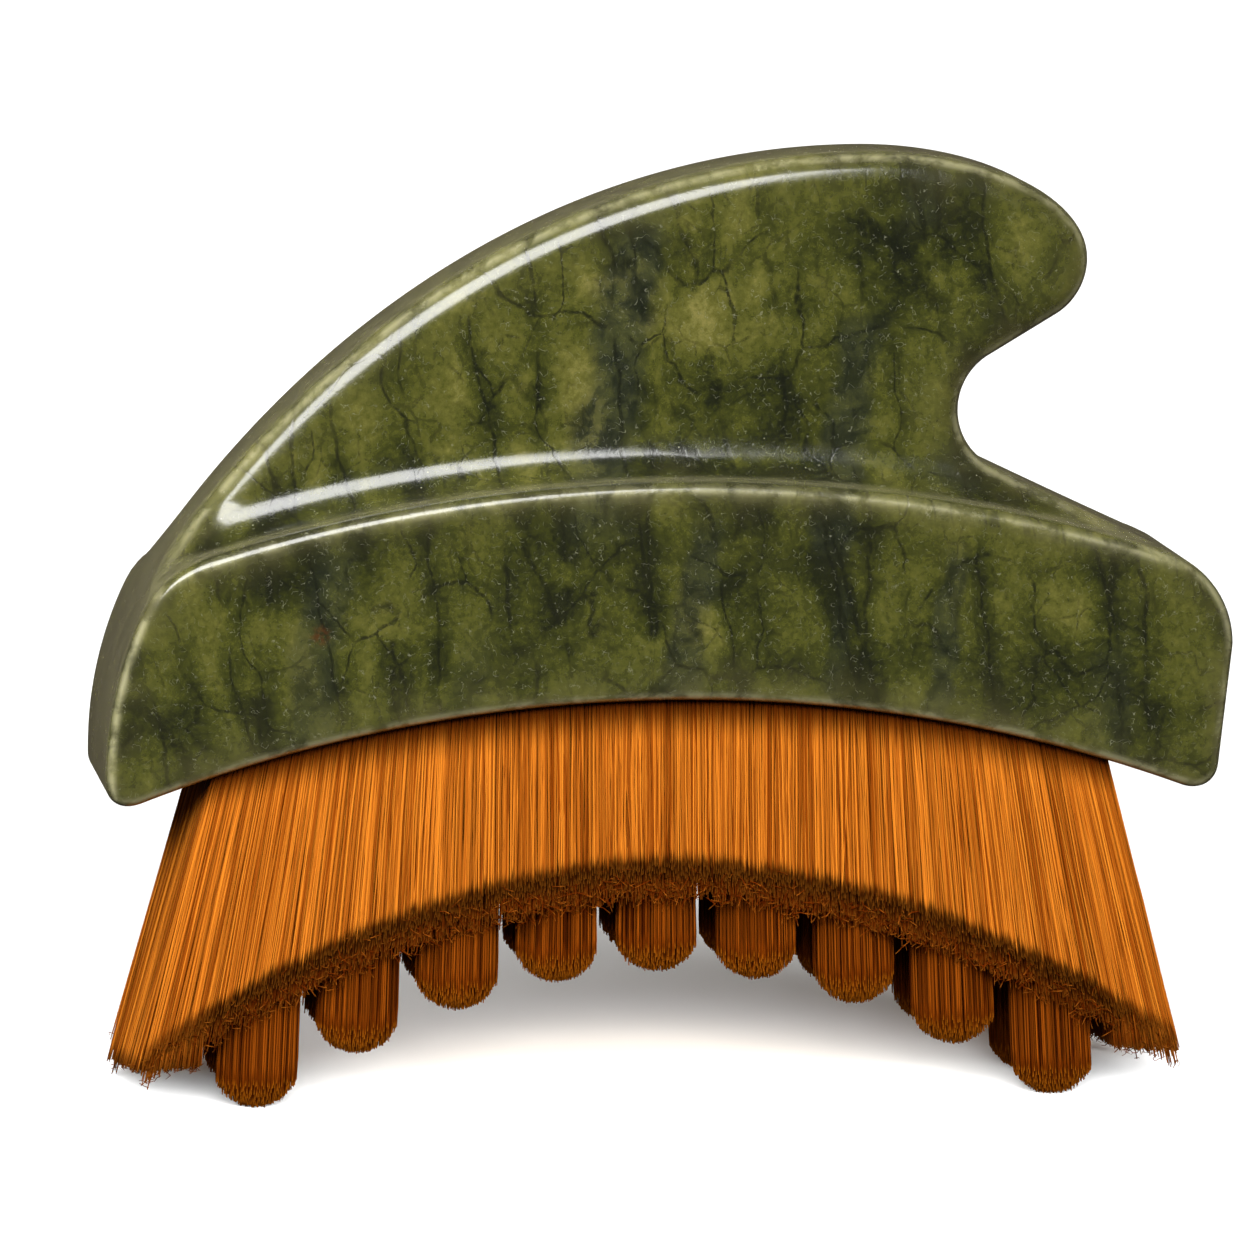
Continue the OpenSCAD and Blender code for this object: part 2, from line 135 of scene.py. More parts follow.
def right_end(z):
    """The right end of the foot: a leaning line, a round shoulder, and the lip up to the notch."""
    above = np.clip(z - shoulder[1], 0, shoulder_r)
    lean = foot_half_w - (shoulder[1] - z) * np.tan(right_lean)
    curve = shoulder[0] + np.sqrt(shoulder_r**2 - above**2)
    lip = lip_low[0] - (z - lip_low[1]) * np.tan(lip_turn)
    return np.where(z > lip_low[1], lip, np.where(z > shoulder[1], curve, lean))


# Rows of the foot: a share of its height, and a distance beyond that share, up to the upper edge
quarter = np.radians(np.linspace(0, 90, 10))
low_rows = foot_edge * (1 - np.cos(quarter))
corner_rows = np.linspace(foot_edge, corner_r, 6)[1:]
side_rows = np.linspace(0.18, 0.93, 30)
share = np.concatenate([0 * low_rows, 0 * corner_rows, side_rows, 1 + 0 * quarter])
beyond = np.concatenate([low_rows, corner_rows, 0 * side_rows, -ledge_edge * (1 - np.cos(quarter[::-1]))])


def row_z(x):
    """Height of every row at the places x."""
    return under(x) + (ledge(x) - under(x)) * share + beyond


# Where each row ends is found by closing in, because its height depends on the place and turns back on it
rise = np.where(share > 0, corner_r, beyond)
row_left = np.full(len(share), -foot_half_w)
row_right = np.full(len(share), foot_half_w - shoulder_r)
rounds, step_share = 60, 0.6
for _ in range(rounds):
    row_left = left_end(row_z(row_left)) + corner_in(rise)
    row_right = row_right + step_share * (right_end(row_z(row_right)) - corner_in(rise) - row_right)
left_x, right_x = row_left[-1], row_right[-1]

back_b = (crown_z - ledge(left_x)) / (1 - np.sqrt(1 - ((crown_x - left_x) / back_a) ** 2))


def back(x):
    """The fin's back: a quarter of an ellipse that starts at the foot's left end and rises to the crown."""
    return np.column_stack([x, crown_z - back_b * (1 - np.sqrt(1 - ((crown_x - x) / back_a) ** 2))])


def arc(centre, radius, start, end, count):
    """Points along a circle, its first point left out because the stretch before ends on it."""
    return polar(centre, radius, np.linspace(start, end, count + 1)[1:])


# Columns from left to right: where each stands on the upper edge, and the point that it reaches on the fin.
# They are close together at both ends, where the edge is rounded, as a share of about half its length.
half_ledge = 45
rounding = foot_edge * (1 - np.cos(quarter)) / half_ledge
back_t = np.concatenate([0.004 + rounding, np.linspace(0.045, 0.2, 24), np.linspace(0.2, 1, 94)[1:]])
crown_turn = np.radians(np.linspace(0, 90, 27)[1:])
crown = np.column_stack([
    crown_x + (beak[0] + beak_r - crown_x) * np.sin(crown_turn),
    beak[1] + (crown_z - beak[1]) * np.cos(crown_turn)])
lip_t = np.concatenate([np.linspace(0, 0.93, 30)[1:], 1 - rounding[::-1] * 2])
lip_x = lip_high[0] + (right_x - foot_edge / 2 - lip_high[0]) * lip_t
lip_z = lip_high[1] + (lip_low[1] - lip_high[1]) * (lip_x - lip_high[0]) / (lip_low[0] - lip_high[0])
# Each stretch: where it starts and ends as a share of the upper edge, how its columns are spaced there if
# not evenly, and its points on the fin
stretches = [
    (0.0, 0.45, back_t - back_t[0], back(left_x + (crown_x - left_x) * back_t)),
    (0.45, 0.5, None, crown),
    (0.5, 0.53, None, arc(beak, beak_r, 0, beak_turn, 24)),
    (0.53, 0.79, None, arc(notch, notch_r, beak_turn + np.pi, lip_turn + np.pi, 40)),
    (0.79, 1.0, lip_t, np.column_stack([lip_x, lip_z])),
]
stand = []
reach = []
for start, end, along, points in stretches:
    along = np.linspace(0, 1, len(points) + 1)[1:] if along is None else along
    stand.append(start + (end - start) * along)
    reach.append(points)
stand, reach = np.concatenate(stand), np.concatenate(reach)

# The ends of the pocket get columns of their own
pocket_ends = brush_x + pocket_half_w * np.array([-1, 1])
pocket_stand = (pocket_ends - row_left[0]) / (row_right[0] - row_left[0])
for end_stand in pocket_stand:
    k = np.searchsorted(stand, end_stand)
    t = (end_stand - stand[k - 1]) / (stand[k] - stand[k - 1])
    reach = np.insert(reach, k, reach[k - 1] * (1 - t) + reach[k] * t, axis=0)
    stand = np.insert(stand, k, end_stand)

foot_x = row_left + (row_right - row_left) * stand[:, None]
foot_points = np.stack([foot_x, row_z(foot_x)], axis=2)

# Above the ledge a column crosses the hollow fillet, the flat of the fin, and its rounded edge
root = foot_points[:, -1]
length = np.linalg.norm(reach - root, axis=1)
way = (reach - root) / length[:, None]
near = cove_r + fin_edge + ledge_edge
squeeze = np.minimum(1, length / near)[:, None, None]
along_rim = np.gradient(reach, axis=0)
along_rim[0], along_rim[-1] = along_rim[1], along_rim[-2]
inward = np.column_stack([along_rim[:, 1], -along_rim[:, 0]]) / np.linalg.norm(along_rim, axis=1)[:, None]
square = np.clip(length / near - 1, 0, 1)[:, None]
turned = -way * (1 - square) + inward * square
turned /= np.linalg.norm(turned, axis=1)[:, None]
cove_steps = cove_r * (1 - np.sin(np.radians(np.linspace(82, 0, 12))))
rim_steps = fin_edge * (1 - np.cos(np.radians(np.linspace(90, 0, 12))))
cove_points = root[:, None] + way[:, None] * cove_steps[:, None] * squeeze
rim_points = reach[:, None] + turned[:, None] * rim_steps[:, None] * squeeze
flat_t = np.linspace(0, 1, 16)[1:-1, None]
flat_points = cove_points[:, -1:] * (1 - flat_t) + rim_points[:, :1] * flat_t
face = np.concatenate([foot_points, cove_points, flat_points, rim_points], axis=1)


def outline_gap(points, loop):
    """Distance of each point from the nearest stretch of the outline, a few stretches at a time."""
    gap = np.full(len(points), 1e9)
    for part in np.array_split(np.arange(len(loop) - 1), 40):
        a, step = loop[part], loop[part + 1] - loop[part]
        t = ((points[:, None] - a) * step).sum(2) / np.maximum((step**2).sum(1), 1e-12)
        off = points[:, None] - a - np.clip(t, 0, 1)[:, :, None] * step
        gap = np.minimum(gap, np.sqrt((off**2).sum(2)).min(1))
    return gap


def body_half(points):
    """Half thickness before the outline is rounded: foot, rounded ledge, hollow fillet, then fin. The
    ledge turns down round the face's upper left corner, where d joins two distances as a corner does."""
    above = np.hypot(points[:, 0] - ledge_x, points[:, 1] - ledge_z + ledge_r) - ledge_r
    beside = left_end(points[:, 1]) - ledge_edge - points[:, 0]
    d = np.hypot(np.maximum(0, above + face_corner), np.maximum(0, beside + face_corner)) - face_corner
    shelf = foot_half_t - ledge_edge
    over = shelf + np.sqrt(ledge_edge**2 - np.clip(d + ledge_edge, 0, ledge_edge) ** 2)
    cove = shelf - np.sqrt(cove_r**2 - (cove_r - np.clip(d, 0, cove_r)) ** 2)
    return np.where(d < 0, over, cove), d


columns, rows = face.shape[:2]
loop = np.concatenate([face[:, 0], face[-1, 1:], face[-2::-1, -1], face[0, -2::-1]])
flat = face.reshape(-1, 2)
gap = outline_gap(flat, loop)
body, ledge_d = body_half(flat)
edge_r = fin_edge + (foot_edge - fin_edge) * (body - fin_half) / (foot_half_t - fin_half)
half = body - edge_r + np.sqrt(edge_r**2 - np.maximum(0, edge_r - gap) ** 2)


def grid_faces(count_u, count_v, first=0):
    """Four-sided faces of a grid whose points are numbered row by row, facing -Y when u is X and v is Z."""
    a = first + (np.arange(count_u - 1)[:, None] * count_v + np.arange(count_v - 1)).ravel()
    return np.column_stack([a, a + count_v, a + count_v + 1, a + 1])


front = np.column_stack([flat[:, 0], -half, flat[:, 1]])
rear = front * [1, -1, 1]
front_faces = grid_faces(columns, rows)
rear_faces = len(front) + front_faces[:, ::-1]
at = np.arange(columns * rows).reshape(columns, rows)
rim = np.concatenate([at[-1], at[-2::-1, -1], at[0, -2::-1]])
band_faces = np.column_stack([rim[:-1], rim[:-1] + len(front), rim[1:] + len(front), rim[1:]])

# The underside between the two faces, sunk square to the arch where the pocket is
under_k = np.sort(np.concatenate([np.arange(columns), np.searchsorted(stand, pocket_stand)]))
strip_x = face[under_k, 0, 0]
inside = np.abs(strip_x - brush_x) < pocket_half_w + 1e-6
inside &= ~np.isin(np.arange(len(under_k)), [np.flatnonzero(inside)[0], np.flatnonzero(inside)[-1]])
deep = 1 + np.where(inside, pocket_h / under_r, 0)
strip = np.column_stack([strip_x, under(strip_x)])
sunk = strip * deep[:, None] - (deep[:, None] - 1) * [0, under_z - under_r]
edge_y = half[at[under_k, 0]]
across = [-edge_y, -pocket_half_t, -pocket_half_t, pocket_half_t, pocket_half_t, edge_y]
levels = [strip, strip, sunk, sunk, strip, strip]
under_points = np.stack([
    np.column_stack([level[:, 0], y + 0 * edge_y, level[:, 1]]) for y, level in zip(across, levels)], axis=1)
under_faces = grid_faces(len(under_k), len(across), 2 * len(front))[:, ::-1]


def as_mesh(name, points_mm, faces):
    """A smooth mesh object at the origin from points in millimetres and faces of four points."""
    mesh = bpy.data.meshes.new(name)
    mesh.vertices.add(len(points_mm))
    mesh.vertices.foreach_set("co", (points_mm * MM).astype(np.float32).ravel())
    mesh.loops.add(faces.size)
    mesh.loops.foreach_set("vertex_index", faces.astype(np.int32).ravel())
    mesh.polygons.add(len(faces))
    mesh.polygons.foreach_set("loop_start", np.arange(0, faces.size, faces.shape[1], dtype=np.int32))
    mesh.polygons.foreach_set("use_smooth", np.full(len(faces), True))
    mesh.update(calc_edges=True)
    piece = bpy.data.objects.new(name, mesh)
    bpy.context.scene.collection.objects.link(piece)
    return piece


def attribute(piece, name, values):
    """One number for every point of a piece, for its material to read."""
    piece.data.attributes.new(name, "FLOAT", "POINT").data.foreach_set("value", values.astype(np.float32))


stone = as_mesh(
    "polished_stone",
    np.concatenate([front, rear, under_points.reshape(-1, 3)]),
    np.concatenate([front_faces, rear_faces, band_faces, under_faces]))

# What the stone's material reads: where it gets a painted glow near its thin edges, where its edges get a
# painted highlight, and where the ledge is. Each is a distance from the outline or from the ledge, faded over
# so many millimetres.
glow_depth, glow_ledge, glow_ledge_w = 2.2, 1.2, 1.3
glint_at, glint_w, glint_ledge, glint_ledge_w = 0.5, 0.35, 0.9, 0.3
tick_at, tick_w = 1.1, 1.0
# Painted glow: lighter and warmer near the outline and along the ledge
thin = np.exp(-gap / glow_depth)
thin = np.maximum(thin, 0.8 * np.exp(-np.abs(ledge_d + glow_ledge) / glow_ledge_w))
# Painted highlight: a pale line along the outline and round the ledge's edge
glint = np.where(edge_r < 2, np.exp(-np.abs(ledge_d + glint_ledge) / glint_ledge_w), 0)
glint = np.maximum(np.exp(-(((gap - glint_at) / glint_w) ** 2)), glint)
at_ledge = np.exp(-(((ledge_d + tick_at) / tick_w) ** 2))
for key, values, below in (("painted_edge_glow", thin, 0.7), ("rim", glint, 0), ("ledge", at_ledge, 0)):
    attribute(stone, key, np.concatenate([values, values, np.full(under_points.size // 3, below)]))

shell = bmesh.new()
shell.from_mesh(stone.data)
bmesh.ops.remove_doubles(shell, verts=shell.verts, dist=1e-7)
bmesh.ops.dissolve_degenerate(shell, edges=shell.edges, dist=1e-7)
bmesh.ops.recalc_face_normals(shell, faces=shell.faces)
shell.to_mesh(stone.data)
shell.free()
stone.data.set_sharp_from_angle(angle=np.radians(40))


def feed(tree, node, **inputs):
    """Gives a node's inputs a number, a colour or another node's output. A socket is named with _ for a
    space, or by its number after an i."""
    for key, value in inputs.items():
        socket = node.inputs[int(key[1:]) if key[0] == "i" and key[1:].isdigit() else key.replace("_", " ")]
        if isinstance(value, bpy.types.NodeSocket):
            tree.links.new(value, socket)
        else:
            socket.default_value = value


def put(tree, kind, settings=None, **inputs):
    """Adds a shader node with its settings and inputs."""
    made = tree.nodes.new("ShaderNode" + kind)
    for key, value in (settings or {}).items():
        setattr(made, key, value)
    feed(tree, made, **inputs)
    return made


def calc(tree, operation, a, b=0.0, c=0.0):
    """A Math node's result."""
    return put(tree, "Math", {"operation": operation}, i0=a, i1=b, i2=c).outputs[0]


def fade(tree, value, start, end, low=0.0, high=1.0):
    """Low before start, high after end, and smooth between them."""
    return put(tree, "MapRange", {"interpolation_type": "SMOOTHSTEP"}, Value=value, From_Min=start,
               From_Max=end, To_Min=low, To_Max=high).outputs[0]


def blend_colour(tree, factor, a, b):
    """Colour b over colour a."""
    return put(tree, "Mix", {"data_type": "RGBA"}, i0=factor, i6=a, i7=b).outputs[2]


def noise(tree, place, size, detail=3.0, roughness=0.55, out=0):
    """Soft noise whose lumps measure about size millimetres: a value, or a colour when out is 1."""
    return put(tree, "TexNoise", None, Vector=place, Scale=1 / size, Detail=detail,
               Roughness=roughness).outputs[out]


def finish(name):
    """A new material, its node tree and its Principled shader."""
    made = bpy.data.materials.new(name)
    made.use_nodes = True
    return made, made.node_tree, made.node_tree.nodes["Principled BSDF"]


def place_mm(tree):
    """The place on the piece, in millimetres."""
    place = put(tree, "TexCoord").outputs["Object"]
    return put(tree, "VectorMath", {"operation": "SCALE"}, Vector=place, Scale=1 / MM).outputs[0]


def times(tree, place, *by):
    """The place with X, Y and Z each multiplied, which stretches or squeezes the pattern on it."""
    return put(tree, "VectorMath", {"operation": "MULTIPLY"}, i0=place, i1=by).outputs[0]


def cells(tree, place, feature="F1", out="Distance", scale=1.0):
    """A pattern of cells: the distance from a cell's middle or from its edge, or a colour for each."""
    return put(tree, "TexVoronoi", {"feature": feature}, Vector=place, Scale=scale).outputs[out]


def channel(tree, colour, number):
    """One channel of a colour."""
    return put(tree, "SeparateColor", None, Color=colour).outputs[number]


def stored(tree, name):
    """An attribute of the piece."""
    return put(tree, "Attribute", {"attribute_name": name}).outputs["Fac"]


def shifted(tree, place, by, amount):
    """The place, pushed about by a noise of lumps of size by, as far as amount."""
    push = put(tree, "VectorMath", {"operation": "SUBTRACT"}, i0=noise(tree, place, by, 2, 0.5, 1),
               i1=(0.5, 0.5, 0.5)).outputs[0]
    return put(tree, "VectorMath", {"operation": "MULTIPLY_ADD"}, i0=push,
               i1=(amount, amount, amount), i2=place).outputs[0]


serpentine, tree, surface = finish("polished_serpentine")
place = place_mm(tree)
upright = put(tree, "Mapping", None, Vector=place, Rotation=(0, np.radians(9), 0)).outputs[0]
drift = shifted(tree, upright, 12, 8)
drift = shifted(tree, shifted(tree, drift, 3, 1.3), 0.9, 0.3)

# Clouds of olive, broken up by lumps and by a fine grain
cloud = noise(tree, drift, 14, 2, 0.5)
lumps = noise(tree, drift, 2.6, 4, 0.6)
grain = noise(tree, place, 0.7, 5, 0.75)
tone = calc(tree, "MULTIPLY_ADD", cloud, 0.42, calc(tree, "MULTIPLY", lumps, 0.20))
tone = calc(tree, "MULTIPLY_ADD", grain, 0.38, tone)

# Cells with darker seams, taller than wide
cell_place = times(tree, drift, 1 / 9, 1 / 12, 1 / 12)
seam = cells(tree, cell_place, "DISTANCE_TO_EDGE")
cell_tone = channel(tree, cells(tree, cell_place, "SMOOTH_F1", "Color"), 0)
tone = calc(tree, "SUBTRACT", tone, fade(tree, seam, 0.0, 0.3, 0.09, 0))
tone = calc(tree, "MULTIPLY_ADD", cell_tone, 0.08, calc(tree, "SUBTRACT", tone, 0.04))

# Slabs that stand nearly upright, each of its own tone, darker where they meet
slab_place = shifted(tree, shifted(tree, upright, 8, 3.4), 1.2, 0.3)
slab_place = times(tree, slab_place, 1 / 8, 1 / 30, 1 / 60)
split = cells(tree, slab_place, "DISTANCE_TO_EDGE")
slab_tone = channel(tree, cells(tree, slab_place, "F1", "Color"), 1)
split_where = fade(tree, noise(tree, place, 9, 2), 0.38, 0.52)
shade = calc(tree, "MULTIPLY", fade(tree, split, 0.0, 0.24, 0.13, 0), split_where)
tone = calc(tree, "SUBTRACT", tone, shade)
tone = calc(tree, "MULTIPLY_ADD", slab_tone, 0.05, calc(tree, "SUBTRACT", tone, 0.025))

# Painted light: the thinner fin is painted a little lighter, and the foot a little darker
height = put(tree, "SeparateXYZ", None, Vector=place).outputs[2]
tone = calc(tree, "ADD", tone, fade(tree, height, 56, 68, -0.006, 0.010))

# Dark layers that stand nearly upright: place at half height, half width, lowest and highest point, depth
layers = [
    (-5.5, 2.6, 56, 90, 1.0), (17.5, 2.0, 54, 80, 0.9), (25.5, 1.8, 86, 97, 0.8), (28.5, 2.6, 58, 68, 0.6),
    (-35.5, 2.0, 34, 58, 0.8), (1.5, 1.8, 34, 60, 0.95), (-21.0, 1.8, 34, 50, 0.4),
    (26.5, 1.2, 30, 58, 0.85), (15.5, 0.9, 30, 54, 0.6), (43.5, 1.8, 32, 48, 0.5)]
lean = 0.16
bent = shifted(tree, shifted(tree, place, 7, 4), 1.6, 1.2)
spot = put(tree, "SeparateXYZ", None, Vector=bent)
dark = None
for layer_x, layer_w, layer_low, layer_high, depth in layers:
    middle = (layer_low + layer_high) / 2
    side = calc(tree, "MULTIPLY_ADD", calc(tree, "SUBTRACT", spot.outputs[2], middle), -lean, spot.outputs[0])
    side = calc(tree, "ABSOLUTE", calc(tree, "SUBTRACT", side, layer_x))
    band = fade(tree, side, 0.6 * layer_w, 1.5 * layer_w, depth, 0)
    level = calc(tree, "ABSOLUTE", calc(tree, "SUBTRACT", spot.outputs[2], middle))
    tall = (layer_high - layer_low) / 2
    band = calc(tree, "MULTIPLY", band, fade(tree, level, tall - 4, tall + 1, 1, 0))
    dark = band if dark is None else calc(tree, "MAXIMUM", dark, band)
dark = calc(tree, "MULTIPLY", dark, fade(tree, lumps, 0.42, 0.66, 1, 0.6))
ground = put(tree, "ValToRGB", None, Fac=tone)
ramp = ground.color_ramp
stops = [(0.28, (0.006, 0.0075, 0.0025)), (0.38, (0.018, 0.0205, 0.0035)), (0.47, (0.036, 0.038, 0.006)),
         (0.56, (0.064, 0.062, 0.012)), (0.67, (0.120, 0.108, 0.030))]
ramp.elements[0].position, ramp.elements[1].position = stops[0][0], stops[-1][0]
for position, colour in stops[1:-1]:
    ramp.elements.new(position)
for element, (position, colour) in zip(ramp.elements, stops):
    element.color = (*colour, 1)
colour = ground.outputs[0]
slate = blend_colour(tree, fade(tree, lumps, 0.35, 0.7), (0.005, 0.007, 0.004, 1), (0.020, 0.023, 0.012, 1))
colour = blend_colour(tree, calc(tree, "MULTIPLY", dark, 0.95), colour, slate)

# Fine black cracks along some of the seams, and nearly upright ones of their own
crack_where = fade(tree, noise(tree, place, 7, 2), 0.42, 0.54)
crack = calc(tree, "MULTIPLY", fade(tree, seam, 0.004, 0.022, 1, 0), crack_where)
net = cells(tree, times(tree, drift, 1 / 2.8, 1 / 4, 1 / 3.6), "DISTANCE_TO_EDGE")
net_where = fade(tree, noise(tree, place, 3.5, 2), 0.44, 0.6)
crack = calc(tree, "MAXIMUM", crack, calc(tree, "MULTIPLY", fade(tree, net, 0.015, 0.07, 0.5, 0), net_where))
upright_crack = calc(tree, "MULTIPLY", fade(tree, split, 0.006, 0.026, 1, 0), split_where)
crack = calc(tree, "MAXIMUM", crack, upright_crack)
crack = calc(tree, "MULTIPLY", crack, fade(tree, noise(tree, place, 0.45, 2), 0.32, 0.56, 0.45, 1))

# Ticks that cross the foot's upper edge
tick = cells(tree, times(tree, shifted(tree, upright, 3, 1.2), 1 / 3.2, 0.01, 0.01), "DISTANCE_TO_EDGE")
tick = calc(tree, "MULTIPLY", fade(tree, tick, 0.008, 0.035, 0.8, 0), stored(tree, "ledge"))
colour = blend_colour(tree, calc(tree, "MULTIPLY", calc(tree, "MAXIMUM", crack, tick), 0.85), colour,
                      (0.003, 0.004, 0.002, 1))

# Pale hair-fine fibres and specks in the stone
ridge = calc(tree, "ABSOLUTE", calc(tree, "SUBTRACT", noise(tree, place, 0.7, 1.5, 0.5), 0.5))
patch = fade(tree, noise(tree, place, 0.8, 1), 0.52, 0.62)
fibre = calc(tree, "MULTIPLY", fade(tree, ridge, 0.003, 0.015, 1, 0), patch)
speck = cells(tree, place, scale=1 / 1.1)
speck_on = fade(tree, channel(tree, cells(tree, place, "F1", "Color", 1 / 1.1), 1), 0.78, 0.80)
speck_dot = calc(tree, "MULTIPLY", fade(tree, speck, 0.05, 0.10, 1, 0), speck_on)
pale = calc(tree, "MAXIMUM", calc(tree, "MULTIPLY", fibre, 0.36), calc(tree, "MULTIPLY", speck_dot, 0.75))
colour = blend_colour(tree, pale, colour, (0.20, 0.20, 0.14, 1))

# Painted light: a warm painted glow where the stone is thin, and a painted highlight as a pale edge line
facing = put(tree, "SeparateXYZ", None, Vector=put(tree, "TexCoord").outputs["Normal"]).outputs[1]
facing = calc(tree, "ABSOLUTE", facing)
glow = fade(tree, noise(tree, place, 5, 3), 0.35, 0.65, 0.3, 1)
glow = calc(tree, "MULTIPLY", stored(tree, "painted_edge_glow"), glow)
glow = calc(tree, "MULTIPLY", glow, fade(tree, facing, 0.05, 0.5, 0.3, 1))
colour = blend_colour(tree, calc(tree, "MULTIPLY", glow, 0.5), colour, (0.115, 0.105, 0.034, 1))
# Painted highlight along the edges
rim_light = calc(tree, "MULTIPLY", stored(tree, "rim"), fade(tree, facing, 0.1, 0.6))
rim_light = calc(tree, "MULTIPLY", rim_light, fade(tree, lumps, 0.36, 0.60, 0.12, 0.6))
colour = blend_colour(tree, rim_light, colour, (0.28, 0.265, 0.15, 1))

# The sawn sides are ground along their length, which streaks them, and they are painted paler, a painted grey
# sheen
streak = times(tree, place, 0.5, 4, 0.12)
streak = fade(tree, noise(tree, streak, 1.0, 4, 0.7), 0.3, 0.7, 0.15, 0.8)
streaks_and_sheen = calc(tree, "MULTIPLY", fade(tree, facing, 0.05, 0.45, 1, 0), streak)
colour = blend_colour(tree, streaks_and_sheen, colour, (0.22, 0.205, 0.11, 1))

# One rusty fleck on the left of the foot's front
rust_spot = (-35.3, -12.0, 48.0)
rust = put(tree, "VectorMath", {"operation": "DISTANCE"}, i0=place, i1=rust_spot).outputs["Value"]
rust = calc(tree, "MULTIPLY", fade(tree, rust, 0.3, 1.4, 0.7, 0), fade(tree, grain, 0.42, 0.58))
colour = blend_colour(tree, rust, colour, (0.045, 0.014, 0.004, 1))

# The polish is a little uneven, with shallow pits, and the cracks are open
wear = fade(tree, noise(tree, place, 2.2, 4, 0.7), 0.4, 0.75, 0.18, 0.3)
pits = fade(tree, noise(tree, place, 0.8, 2), 0.30, 0.40)
relief = calc(tree, "ADD", calc(tree, "MULTIPLY", pits, 0.5), calc(tree, "MULTIPLY", crack, -0.7))
relief = calc(tree, "MULTIPLY_ADD", noise(tree, place, 2.4, 1), 0.7, relief)
feed(tree, surface, Base_Color=colour, Roughness=wear, IOR=1.56, Coat_Weight=0.9, Coat_Roughness=0.16,
     Subsurface_Weight=0.12, Subsurface_Radius=(0.9, 1.0, 0.35), Subsurface_Scale=0.0012,
     Normal=put(tree, "Bump", None, Strength=0.25, Distance=0.00008, Height=relief).outputs[0])
stone.data.materials.append(serpentine)
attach(stone, "root")
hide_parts("stone_handle")

# ---- The insert plate, its adhesive and the tuft anchors ----
# The plate is beech-coloured moulded resin, drilled for the tufts, and is glued into the pocket with
# cream epoxy; each tuft is held in its bore by a flat brass wire. They keep their own solids.

resin, tree, surface = finish("insert_resin")
place = place_mm(tree)
mottle = noise(tree, place, 2.5, 4)
feed(tree, surface,
     Base_Color=blend_colour(tree, mottle, (0.20, 0.12, 0.06, 1), (0.32, 0.22, 0.13, 1)),
     Roughness=fade(tree, noise(tree, place, 0.8, 3), 0.3, 0.7, 0.42, 0.6),
     Normal=put(tree, "Bump", None, Strength=0.3, Distance=0.0001, Height=mottle).outputs[0])

epoxy, tree, surface = finish("cream_epoxy")
bubbles = cells(tree, place_mm(tree), scale=1.2)
feed(tree, surface,
     Base_Color=blend_colour(tree, bubbles, (0.42, 0.37, 0.24, 1), (0.48, 0.45, 0.34, 1)),
     Roughness=fade(tree, bubbles, 0.05, 0.2, 0.5, 0.3))

brass, tree, surface = finish("anchor_brass")
lines = noise(tree, times(tree, place_mm(tree), 0.15, 3, 3), 1.0, 3)
feed(tree, surface, Metallic=1.0,
     Base_Color=blend_colour(tree, lines, (0.55, 0.38, 0.14, 1), (0.78, 0.58, 0.26, 1)),
     Roughness=fade(tree, lines, 0.3, 0.7, 0.25, 0.4))

for name, material in (("insert_plate", resin), ("adhesive_bed", epoxy), ("tuft_anchors", brass)):
    piece = frame["nodes"][name]
    piece.data.materials.clear()
    piece.data.materials.append(material)

# ---- The bristle wall ----
# Stiff nylon filament, about 0.2 mm thick, set in a narrow strip round the edge of the insert: a front and
# a rear wall and two end walls, upright in the middle and flared towards the ends. The tips are trimmed
# to an arch with a bevel, the inner ones longer, their ends in painted shade; many end in a short curl.

brush_half, brush_half_t, wall_t = 44.5, 9.65, 1.6
recess, step_h = 0.3, 2.6
flare_x, upright_x, fan_power = 7.6, 12.0, 2.4
wall_z, wall_drop, wall_power = 24.5, 18.2, 1.85
bevel_mid, bevel_end = 3.9, 3.5
outer_lean, inner_lean, end_lean = np.tan(np.radians([5, 4, 3.5]))
tip_half = brush_half + flare_x
# Filaments: how deep they stand in their strip, how far the outermost stand inside its edge, half their
# thickness, and the number in a side wall and in an end wall
rooted, edge_gap, filament_r, wall_count, end_count = 1, 0.2, 0.09, 4700, 1900
# How much longer than the front wall's the filaments at the end of the others are, how much of that
# spreads them, and how askew the end walls are trimmed
rear_longer, left_longer, right_longer, longer_flare, askew = 2.6, 2.6, 1.8, 0.35, 0.6
# The end walls: how far their inner tips are drawn in, how much higher these end, how much lower all end
draw_in, inner_rise, end_drop = 6.5, 0.3, 0.5
# The share of filaments with a curl: inside the side walls, inside the end walls, and outermost; and the
# length of the longest curl. The painted end shading fades out over so many millimetres at the ends.
curl_inner, curl_end, curl_outer, curl_long, end_shading_fade = 0.30, 0.12, 0.05, 1.7, 7


def fan(x):
    """How far along the foot a tip stands out from its root: nothing near the middle, then a power."""
    far = (np.abs(x) - upright_x / 2) / (brush_half - upright_x / 2)
    return np.where(np.abs(x) < upright_x / 2, 0, flare_x * np.sign(x) * np.maximum(0, far) ** fan_power)


def wall_tip(x):
    """Height of the outer tips: an arch that falls towards the ends."""
    return wall_z - wall_drop * np.minimum(1.02, np.abs(x) / tip_half) ** wall_power


def bevel(x):
    """How much lower than the outer filaments the inner ones end."""
    return bevel_mid + (bevel_end - bevel_mid) * np.minimum(1, (x / tip_half) ** 2)


